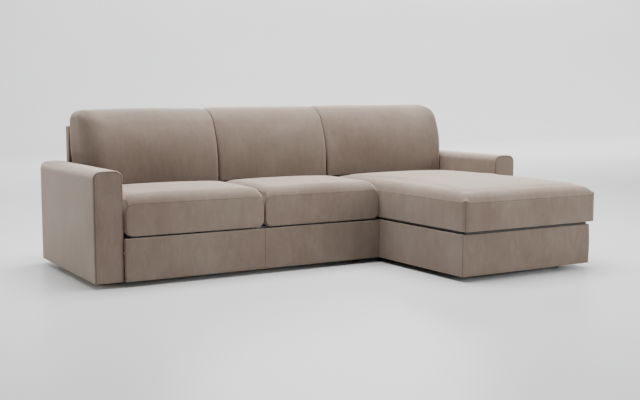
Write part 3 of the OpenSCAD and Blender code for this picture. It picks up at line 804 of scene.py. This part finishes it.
TO_ARM = BACK_L[0][0] - ARM_L[1][0] - SIDE_ROOM
TO_CHAISE = BACK_C[0][0] - BACK_M[1][0] - SIDE_ROOM
backs = [back_cushion("back_left", BACK_L, "foot_section", "back_cushion_left", left=TO_ARM,
                      corners=(SOFT_CORNER, TIGHT_CORNER), left_round=(0.090, 0.165),
                      bulges=(0.009, 0.003), taper=0.024, falls=(0.012, 0.003)),
         back_cushion("back_middle", BACK_M, "foot_section", "back_cushion_middle",
                      right=TO_CHAISE, falls=(0.002, -0.002), lift=0.004),
         back_cushion("back_right", BACK_C, "base", "back_cushion_chaise",
                      corners=(TIGHT_CORNER, FREE_CORNER), bulges=(0.003, 0.019),
                      falls=(0.003, -0.005), lift=0.001)]
print("back vertices", len(backs[0].obj.data.vertices))

# %% [markdown]
# ## Chaise cushion
#
# The long cushion is boxed: straight walls with a seam up each front corner, a seam all round at
# the top of the walls, and a domed panel above it, steep at its edges and then slow. In front of
# the arm it is wider, and beside the arm everything right of the arm's inner face is pressed in.
# The step lies far enough in front of the arm for the lid to swing up past it. Two forms side by
# side would show a joint on top, so it is one form that narrows.

# %% Chaise cushion shape
LID_SEAM_Z = 0.4425
LID_RISE, LID_REACH = 0.050, 0.060
LID_CROWN = LID[1][2] - TOP_CLEAR - LID_SEAM_Z - LID_RISE
LID_TUCK, LID_TUCK_REACH = 0.38, 0.028
LID_SWELL = 0.004
LID_CORNER, LID_REAR_CORNER = 0.032, 0.010
PIVOT = next(joint for joint in frame["joints"] if joint["name"] == "lid_hinge")["pos_m"]
SWING_R = math.hypot(PIVOT[1] - ARM_FRONT_Y + 0.002, ARM_TOP - PIVOT[2])
NOTCH_Y = PIVOT[1] - SWING_R
NOTCH_X = ARM_R[0][0] - 0.003
ON_WALL = 1e-5


def lid_rule(low, high):
    plan = both(LID_CORNER, 2) + both(LID_REAR_CORNER, 2)

    def rule(p):
        top = (p.z - low.z) / (high.z - low.z)
        p = round_corners(p, (0, 1), low, high, plan)
        left, front = p.x - low.x, p.y - low.y
        right, rear = high.x - p.x, high.y - p.y
        if p.y > NOTCH_Y:
            press = (NOTCH_X - low.x) / (high.x - low.x)
            p.x = low.x + left * press
            right = NOTCH_X - p.x
        if top > 0.999:
            wall = LID_RISE * ease(left, LID_REACH) * ease(right, LID_REACH)
            wall *= ease(front, LID_REACH)
            across = arch(left, 0, left + right) ** 0.25
            along = arch(p.y, low.y, high.y + 0.10) ** 0.45
            tuck = 1 - LID_TUCK + LID_TUCK * ease(rear, LID_TUCK_REACH)
            p.z += (wall + LID_CROWN * across * along) * tuck
        elif top > 0.001:
            swell = LID_SWELL * arch(p.z, low.z, high.z)
            p.y -= swell * (front < ON_WALL) * arch(p.x, low.x, high.x) ** 0.4
            p.x -= swell * (left < ON_WALL) * arch(p.y, low.y, high.y) ** 0.4
            p.x += swell * (right < ON_WALL) * arch(p.y, low.y, NOTCH_Y) ** 0.4
        return p

    return rule


print("the chaise cushion steps back at Y", round(NOTCH_Y, 3))

# %% The chaise cushion
LID_INSET, LID_REAR = 0.003, 0.004
LID_OFF = Vector((LID_INSET, 0.005, 0.001))
LID_CAP = 0.006
LID_EDGE_ROWS = (0.004, 0.009, 0.015, 0.022, LID_CORNER)
LID_REAR_ROWS, LID_WALL_ROWS = (0.004, 0.012), (0.004, 0.010)
NOTCH_ROWS = [NOTCH_Y + d for d in (-0.009, -0.003, 0.0005, 0.004, 0.010)]
NOTCH_FREE = 0.014


def lid_cushion():
    low = Vector(LID[0]) + LID_OFF
    high = Vector((LID[1][0] - LID_INSET, LID[1][1] - LID_REAR, LID_SEAM_Z))
    rows = [spaced(low.x, high.x, LID_EDGE_ROWS),
            spaced(low.y, high.y, LID_EDGE_ROWS, LID_REAR_ROWS),
            spaced(low.z, high.z, LID_WALL_ROWS)]
    rows[1] = sorted([y for y in rows[1] if abs(y - NOTCH_Y) > NOTCH_FREE] + NOTCH_ROWS)
    form = Form("chaise_cushion", rows, lid_rule(low, high))
    n, m, h = form.last
    still = form.ids(lambda i, j, k: k == 0 or j == m or i in (0, n) or (k == h and j == 0))
    stuff(form, still, LID_CAP)
    dress(form.obj, "lid", "lid_cushion")
    sew(form, "chaise_top_seam",
        form.edge((0, 0, 1), (1, 0, 1), (1, 1, 1), (0, 1, 1), (0, 0, 1)), closed=True)
    # the upright seam runs up the middle of each rounded corner
    for side, label in enumerate(SIDES):
        sew(form, f"chaise_{label}_corner_seam", form.edge((side, 0, 0), (side, 0, 1)))
    return form


chaise = lid_cushion()
print("chaise vertices", len(chaise.obj.data.vertices))

# %% [markdown]
# ## Arms and panels
#
# The fixed parts are upholstered tightly over boards, so their fabric only swells by a few
# millimetres, and a simulation would show nothing. Each gets its own cover: the same grid round a
# box, with the corners of its section rounded and a seam where the front panel meets the wrap.

# %% Arm shape
ARM_CORNER, ARM_FOOT_R = 0.036, 0.003
ARM_RISE = 0.006
ARM_END_ROUND, ARM_END_REACH = 0.005, 0.012
ARM_SOFT = 0.0016
ARM_FRONT_SWELL, ARM_REAR_SWELL = 0.004, 0.003
ON_FACE = 1e-6


def arm_rule(low, high):
    wide, outline = high.x - low.x, both(ARM_FOOT_R, 2) + both(ARM_CORNER, 2)

    def rule(p):
        t, rear = p.y - low.y, high.y - p.y
        up = (p.z - low.z) / (high.z - low.z)
        p = round_corners(p, (0, 2), low, high, outline)
        across = arch(p.x, low.x, high.x)
        draw = ARM_END_ROUND * (2 - ease(t, ARM_END_REACH) - ease(rear, ARM_END_REACH))
        soft = ARM_SOFT * arch(t, 0, high.y - low.y) ** 0.3 * arch(up, 0, 1.0) ** 0.4
        p.x += (draw - soft) * (1 - 2 * (p.x - low.x) / wide)
        p.z += (ARM_RISE * across - draw) * max(0.0, 2 * up - 1)
        swell = across ** 0.5 * arch(p.z, low.z - 0.02, high.z) ** 0.4
        p.y += ARM_REAR_SWELL * swell * (rear < ON_FACE) - ARM_FRONT_SWELL * swell * (t < ON_FACE)
        return p

    return rule


print("arm corners", ARM_CORNER)

# %% Arm covers
ARM_INSET = 0.0015
ARM_STEP, ARM_CROSS_STEP = 0.022, 0.018
ARM_CURVE_ROWS = (0.004, 0.010, 0.017, 0.026, ARM_CORNER)
ARM_END_ROWS, ARM_LOW_ROWS = (0.002, 0.006, 0.012, 0.02), (0.003, 0.010)
ARM_SEAM_R, ARM_SEAM_SINK = 0.0022, 0.0002


def arm_cover(name, box, node):
    low = Vector(box[0]) + Vector((ARM_INSET, ARM_FRONT_SWELL, 0))
    high = Vector(box[1]) - Vector((ARM_INSET, ARM_REAR_SWELL, ARM_RISE))
    rows = [spaced(low.x, high.x, (0.003, *ARM_CURVE_ROWS), step=ARM_CROSS_STEP),
            spaced(low.y, high.y, ARM_END_ROWS, step=ARM_STEP),
            spaced(low.z, high.z, ARM_LOW_ROWS, ARM_CURVE_ROWS, ARM_STEP)]
    form = Form(name, rows, arm_rule(low, high))
    smooth(form.obj)
    dress(form.obj, "base", node)
    for end, label in enumerate(("front", "rear")):
        sew(form, f"{name}_{label}_seam",
            form.edge((0, end, 0), (0, end, 1), (1, end, 1), (1, end, 0)),
            ARM_SEAM_R, ARM_SEAM_SINK)
    return form


arms = [arm_cover("arm_left_fabric", ARM_L, "arm_left_cover"),
        arm_cover("arm_right_fabric", ARM_R, "arm_right_cover")]
print("arm vertices", len(arms[0].obj.data.vertices))

# %% Rear panel and front panel
PANEL_EDGE, PANEL_FOOT = 0.003, 0.002
PANEL_OVER, PANEL_UP, PANEL_END_FOOT = 0.0005, 0.001, 0.001
PANEL_ROWS = (0.0015, 0.0035, PANEL_EDGE, 0.011)
PANEL_CROSS_STEP = 0.012
END_ROWS = (0.25, 0.6, 1.0, 1.5)  # in radii of the end's round edge


def panel_rule(low, high, swell, end_round):
    section = both(PANEL_FOOT, 2) + both(PANEL_EDGE, 2)
    outline = both(PANEL_END_FOOT, 2) + both(end_round, 2)

    def rule(p):
        up = (p.z - low.z) / (high.z - low.z)
        front, rear = p.y - low.y < ON_FACE, high.y - p.y < ON_FACE
        p = round_corners(p, (1, 2), low, high, section)
        p = round_corners(p, (0, 2), low, high, outline)
        p = round_corners(p, (0, 1), low, high, both(end_round, 4))
        soft = swell * arch(p.x, low.x, high.x) ** 0.3 * arch(up, -0.05, 1.05) ** 0.5
        p.y += soft * (rear - front)
        return p

    return rule


def panel(name, box, node, seams, step, swell, end_round):
    """A cover over a board, with a seam down both faces at each X in seams."""
    low = Vector(box[0]) + Vector((-PANEL_OVER, swell, 0))
    high = Vector(box[1]) + Vector((PANEL_OVER, -swell, PANEL_UP))
    ends = tuple(end_round * part for part in END_ROWS)
    xs = sorted(spaced(low.x, high.x, ends, step=step) + seams)
    rows = [xs, spaced(low.y, high.y, PANEL_ROWS[:3], step=PANEL_CROSS_STEP),
            spaced(low.z, high.z, (0.003,), PANEL_ROWS, step)]
    form = Form(name, rows, panel_rule(low, high, swell, end_round))
    smooth(form.obj)
    dress(form.obj, "base", node, base_fabric_painted_shade)
    m, h = form.last[1:]
    for number, x in enumerate(seams):
        i = xs.index(x)
        path = [(i, 0, k) for k in range(h)] + [(i, j, h) for j in range(m)]
        path += [(i, m, k) for k in range(h, -1, -1)]
        sew(form, f"{name}_seam_{number}", path)
    return form


SPLIT_X = (SEAT_L[1][0] + SEAT_R[0][0]) / 2
panels = [panel("base_front_fabric", FRONT, "base_front_cover", [SPLIT_X], 0.022, 0.002, 0.002),
          panel("rear_panel_fabric", REAR, "rear_panel_cover", [SPLIT_X, FRONT[1][0]],
                0.04, 0.003, 0.0035)]
print("front panel vertices", len(panels[0].obj.data.vertices))

# %% [markdown]
# ## Chaise base
#
# The storage box opens at the top, so its cover can't be a closed form. It is a strip of fabric
# that follows the box's outline from its rear left corner round the front to the arm, folds over
# the rim and goes a little way down inside. It swells at the front and on the right only: on the
# left the seats and backs pass close by when the bed opens.

# %% A path round the box


def bend(points, radius, turns=4):
    """The path with each inner corner replaced by a short curve of the given radius."""
    path = [points[0]]
    for before, corner, after in zip(points, points[1:], points[2:]):
        back, ahead = (before - corner).normalized(), (after - corner).normalized()
        for k in range(turns + 1):
            turn = math.pi / 2 * k / turns
            path.append(corner + radius * (back * (1 - math.sin(turn))
                                           + ahead * (1 - math.cos(turn))))
    return path + [points[-1]]


def divided(path, step):
    """The path with points about `step` apart on its straight stretches."""
    out = []
    for a, b in zip(path, path[1:]):
        count = max(1, round((b - a).length / step))
        out += [a.lerp(b, k / count) for k in range(count)]
    return out + [path[-1]]


print("points on a bent path:", len(bend([Vector((0, 1)), Vector((0, 0)), Vector((1, 0))], 0.1)))

# %% Chaise cover
BASE_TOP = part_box("chaise_box")[1][2] + 0.0002
STEP_Y = ARM_FRONT_Y - 0.006
BASE_INSET, BASE_FRONT_INSET = 0.001, 0.002
BASE_BEND_R, BASE_STEP, BASE_ROWS = 0.007, 0.03, 10
BASE_SWELL = 0.009
BASE_LOW_ROWS, BASE_TOP_ROWS = (0, 0.004, 0.012), (0.012, 0.005, 0.002)
# over the rim and down inside: how far in, how far below the top
RIM_FOLD = ((0.0012, 0.0004), (0.0035, 0), (0.018, 0), (0.022, 0.003), (0.0225, 0.03))
CORNER_NEAR = 0.0035
BASE_SEAM_R = 0.0016


def chaise_base():
    x0, x1 = BASE[0][0] + BASE_INSET, BASE[1][0] - BASE_INSET
    y0, y1 = BASE[0][1] + BASE_FRONT_INSET, BASE[1][1]
    inner_x = ARM_R[0][0] - ARM_INSET
    corners = [Vector(c) for c in ((x0, y1), (x0, y0), (x1, y0), (x1, STEP_Y), (inner_x, STEP_Y),
                                   (inner_x, y1))]
    middle = Vector(((x0 + x1) / 2, (y0 + y1) / 2))
    path = divided(bend(corners, BASE_BEND_R), BASE_STEP)
    low, last = BASE[0][2], len(path) - 1
    heights = [low + d for d in BASE_LOW_ROWS]
    heights += [low + (BASE_TOP - low) * k / BASE_ROWS for k in range(1, BASE_ROWS)]
    heights += [BASE_TOP - d for d in BASE_TOP_ROWS]
    verts = []
    for i, p in enumerate(path):
        along = (path[min(i + 1, last)] - path[max(i - 1, 0)]).normalized()
        out = Vector((-along.y, along.x))
        if (p + out * 0.01 - middle).length < (p - middle).length:
            out = -out
        for z in heights:
            swell = BASE_SWELL * arch((z - low) / (BASE_TOP - low), -0.05, 1) ** 0.8
            swell *= min(arch(p.x, x0, x1) ** 0.2 + (out.x > 0.9), 1)
            place = p + out * (swell if p.y < STEP_Y else 0.0)
            verts.append((place.x, place.y, z))
        for inside, below in RIM_FOLD:
            place = p - out * inside
            verts.append((place.x, place.y, BASE_TOP - below))
    wide = len(heights) + len(RIM_FOLD)
    faces = []
    for i in range(last):
        for a in range(i * wide, (i + 1) * wide - 1):
            faces.append((a, a + wide, a + wide + 1, a + 1))
    obj = mesh_object("chaise_base_fabric", verts, faces)
    smooth(obj)
    dress(obj, "base", "chaise_cover", base_fabric_painted_shade)
    marks = [i for i, p in enumerate(path)
             if min((p - c).length for c in corners[1:3]) < CORNER_NEAR]
    for label, i in zip(SIDES, (marks[0], marks[-1])):
        points = [obj.data.vertices[i * wide + k].co.copy() for k in range(len(heights))]
        stitched(obj, f"chaise_base_{label}_seam", points, BASE_SEAM_R)
    return obj


chaise_wrap = chaise_base()
print("chaise cover faces", len(chaise_wrap.data.polygons))

# %% [markdown]
# ## What the cushions hide
#
# The bed mechanism, the storage box and the mattress show when the sofa is opened. The frame's
# shapes stay as they are there, because boards, tubes and plates are what they look like, and
# only get real finishes: birch plywood with a grain, black powder coat with its faint orange
# peel, a dark felt lining on the lid and the storage box.

# %% Timber, lining, steel and plastic


def timber_finish():
    finish = Finish("birch_plywood")
    grain = finish.cloud(9.0, 6.0, 0.62, 1.4, (0.5, 7.0, 7.0))
    pores = finish.cloud(160.0, 2.0, 0.5, 0.0, (0.12, 1.0, 1.0))
    tones = finish.ramp(grain, (0.25, (0.36, 0.24, 0.13)), (0.5, (0.50, 0.36, 0.21)),
                        (0.8, (0.60, 0.46, 0.29)))
    marks = finish.ramp(pores, (0.35, (0.62, 0.55, 0.48)), (0.6, (1.0, 1.0, 1.0)))
    finish.paint(finish.mix("MULTIPLY", 0.45, tones, marks))
    finish.set(Roughness=0.58, Specular_IOR_Level=0.35)
    finish.bump((grain, 0.12, 0.001), (pores, 0.2, 0.0004))
    return finish.material


def lining_finish():
    finish = Finish("lining_felt")
    flecks = finish.cloud(300.0, 3.0, 0.7)
    tones = finish.ramp(flecks, (0.3, (0.018, 0.016, 0.015)), (0.7, (0.055, 0.050, 0.047)))
    cloud = finish.greys(finish.cloud(14.0, 3.0, 0.5), (0.3, 0.7), (0.7, 1.0))
    finish.paint(finish.mix("MULTIPLY", 0.6, tones, cloud))
    finish.set(Roughness=0.95, Sheen_Weight=0.15, Specular_IOR_Level=0.1)
    finish.bump((flecks, 0.5, 0.0008))
    return finish.material


def steel_finish():
    finish = Finish("black_powder_coat")
    peel = finish.cloud(650.0, 2.0, 0.5)
    wear = finish.cloud(6.0, 4.0, 0.6)
    finish.paint(finish.ramp(wear, (0.3, (0.019, 0.018, 0.017)), (0.7, (0.032, 0.031, 0.030))))
    finish.wire(finish.greys(wear, (0.3, 0.46), (0.75, 0.60)), finish.shader, "Roughness")
    finish.set(Specular_IOR_Level=0.32)
    finish.bump((peel, 0.25, 0.0003))
    return finish.material


def plastic_finish():
    finish = Finish("black_plastic")
    grain = finish.cloud(900.0, 2.0, 0.5)
    finish.paint(finish.greys(grain, (0.3, 0.010), (0.7, 0.018)))
    finish.set(Roughness=0.5)
    finish.bump((grain, 0.3, 0.0002))
    return finish.material


FINISHES = {
    timber_finish(): ["arm_left_frame", "arm_right_frame", "rear_panel_frame", "base_front_rail",
                      "base_rear_rail", "head_slats", "middle_slats", "foot_slats"],
    lining_finish(): ["chaise_back_platform", "lid_board", "chaise_box", "chaise_floor",
                      "seat_deck", "back_board"],
    steel_finish(): ["side_plate_left", "side_plate_right", "lift_pins", "lid_hinge_brackets",
                     "lid_hinge_arms", "lift_arm_rear", "lift_arm_front", "head_frame",
                     "middle_frame", "foot_frame", "middle_legs", "foot_legs"],
    plastic_finish(): ["feet"],
}
for material, nodes in FINISHES.items():
    for node in nodes:
        slots = frame["nodes"][node].data.materials
        slots.clear()
        slots.append(material)
print("finished nodes", sum(len(nodes) for nodes in FINISHES.values()))

# %% [markdown]
# ## The folded mattress
#
# Three sections of a quilted mattress lie folded inside. Both faces are quilted in shallow
# diamonds and covered in a pale woven ticking. A knitted border with a welt at its top and
# bottom runs round the edge. Its dark colour is painted shade: a pale one would show as a light
# line in the narrow gap under the seats. The quilting is a formula in the grid's own plane,
# because it has to run on over the whole face at one pitch.

# %% Ticking and border


def ticking_finish():
    finish = Finish("ticking")
    weave = finish.node("ShaderNodeTexWave", wave_type="BANDS", bands_direction="DIAGONAL")
    weave.inputs["Scale"].default_value = 420.0
    weave.inputs["Distortion"].default_value = 0.6
    finish.wire(finish.place, weave, "Vector")
    cloud = finish.cloud(5.0, 4.0, 0.6)
    tones = finish.ramp(cloud, (0.3, (0.66, 0.64, 0.59)), (0.7, (0.78, 0.76, 0.71)))
    threads = finish.greys(weave.outputs["Fac"], (0.2, 0.82), (0.8, 1.0))
    finish.paint(finish.mix("MULTIPLY", 0.5, tones, threads))
    finish.set(Roughness=0.85, Sheen_Weight=0.2, Specular_IOR_Level=0.2)
    finish.bump((weave.outputs["Fac"], 0.25, 0.0004), (cloud, 0.1, 0.002))
    return finish.material


def border_shade_finish():
    finish = Finish("mattress_border")
    mesh = finish.cloud(520.0, 2.0, 0.5)
    # painted shade: the border is kept this dark so the gap under the seats, where it shows, stays
    # dark
    tones = finish.ramp(mesh, (0.35, (0.045, 0.041, 0.038)), (0.65, (0.085, 0.078, 0.072)))
    cloud = finish.greys(finish.cloud(11.0, 3.0, 0.5), (0.3, 0.75), (0.7, 1.0))
    finish.paint(finish.mix("MULTIPLY", 0.5, tones, cloud))
    finish.set(Roughness=0.9, Sheen_Weight=0.1, Specular_IOR_Level=0.15)
    finish.bump((mesh, 0.4, 0.0006))
    return finish.material


ticking, border = ticking_finish(), border_shade_finish()
print("mattress finishes", ticking.name, border.name)

# %% Mattress sections
QUILT_PITCH, QUILT_DEPTH, QUILT_EDGE = 0.15, 0.006, 0.05
BORDER_R, BORDER_PULL = 0.016, 0.004
PLAN_CORNER = 0.03
FACE_STEP, FACE_ROWS = 0.0188, (0.004, 0.01, 0.018, 0.03)
BORDER_STEP, BORDER_ROWS = 0.02, (0.006,)
WELT_R = 0.003


def quilt(a, b):
    """Height of the quilting: 0 on the stitch lines, 1 in the middle of a diamond."""
    one = abs(math.sin(math.pi * (a + b) / QUILT_PITCH))
    two = abs(math.sin(math.pi * (a - b) / QUILT_PITCH))
    return (one * two) ** 0.45


def mattress_rule(low, high, flat, thin):
    middle = (low + high) / 2

    def rule(p):
        face = abs(p[thin] - middle[thin]) > (high[thin] - low[thin]) / 2 - ON_FACE
        a, b = (p[axis] - middle[axis] for axis in flat)
        p = round_corners(p, flat, low, high, both(PLAN_CORNER, 4))
        if face:
            edge = min(min(p[axis] - low[axis], high[axis] - p[axis]) for axis in flat)
            toward = 1 if p[thin] > middle[thin] else -1
            drop = BORDER_R * 0.5 * (1 - ease(edge, BORDER_R * 1.5))
            p[thin] -= toward * (drop + QUILT_DEPTH * (1 - quilt(a, b)) * ease(edge, QUILT_EDGE))
        else:
            pull = BORDER_PULL * (1 - arch(p[thin], low[thin], high[thin]) ** 0.5)
            for axis in flat:
                p[axis] += pull if p[axis] < middle[axis] else -pull
        return p

    return rule


def mattress_section(name, body, node, thin):
    """thin is the axis the section's thickness lies along while the bed is folded."""
    low, high = (Vector(corner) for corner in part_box(node))
    flat = tuple(axis for axis in range(3) if axis != thin)
    rows = [spaced(low[axis], high[axis], FACE_ROWS, step=FACE_STEP) for axis in range(3)]
    rows[thin] = spaced(low[thin], high[thin], BORDER_ROWS, step=BORDER_STEP)
    form = Form(name, rows, mattress_rule(low, high, flat, thin))
    smooth(form.obj)
    dress(form.obj, body, node, ticking)
    form.obj.data.materials.append(border)
    for face in form.obj.data.polygons:
        face.material_index = int(abs(face.normal[thin]) < 0.5)
    for side, label in enumerate(("lower", "upper")):
        loop = [list(corner) for corner in ((0, 0), (1, 0), (1, 1), (0, 1), (0, 0))]
        for corner in loop:
            corner.insert(thin, side)
        sew(form, f"{name}_{label}_welt", form.edge(*loop), WELT_R, closed=True, material=border)


mattress_section("mattress_head_pad", "head_section", "mattress_head", 2)
mattress_section("mattress_middle_pad", "middle_section", "mattress_middle", 2)
mattress_section("mattress_foot_pad", "foot_section", "mattress_foot", 1)
print("quilted diamonds", QUILT_PITCH, "m apart")
